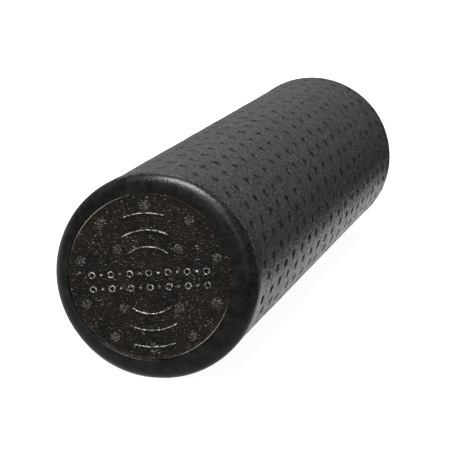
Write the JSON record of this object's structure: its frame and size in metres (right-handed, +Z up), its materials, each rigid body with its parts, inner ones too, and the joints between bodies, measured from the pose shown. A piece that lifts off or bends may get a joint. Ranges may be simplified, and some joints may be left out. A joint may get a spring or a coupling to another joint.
{
  "type": "foam roller",
  "caption": "Round composite foam roller for massage and balance exercises: a solid moulded bead-foam core in a smooth, round-shouldered foam sleeve with fine staggered vent slots.",
  "frame": {"origin": "on the floor under the middle of the roller, which lies on its side", "axes": "+Y along the roller's axis, +Z up, +X across it"},
  "size_m": [0.1524, 0.6096, 0.1524],
  "materials": {
    "bead_foam": "moulded bead foam, brown-black, with a fine cell pattern and small glints on the beads",
    "sleeve_foam": "closed-cell foam skin, charcoal, smooth and satin with a fine pebbled grain"
  },
  "bodies": {
    "root": {"core": "bead_foam", "sleeve": "sleeve_foam"}
  },
  "joints": []
}
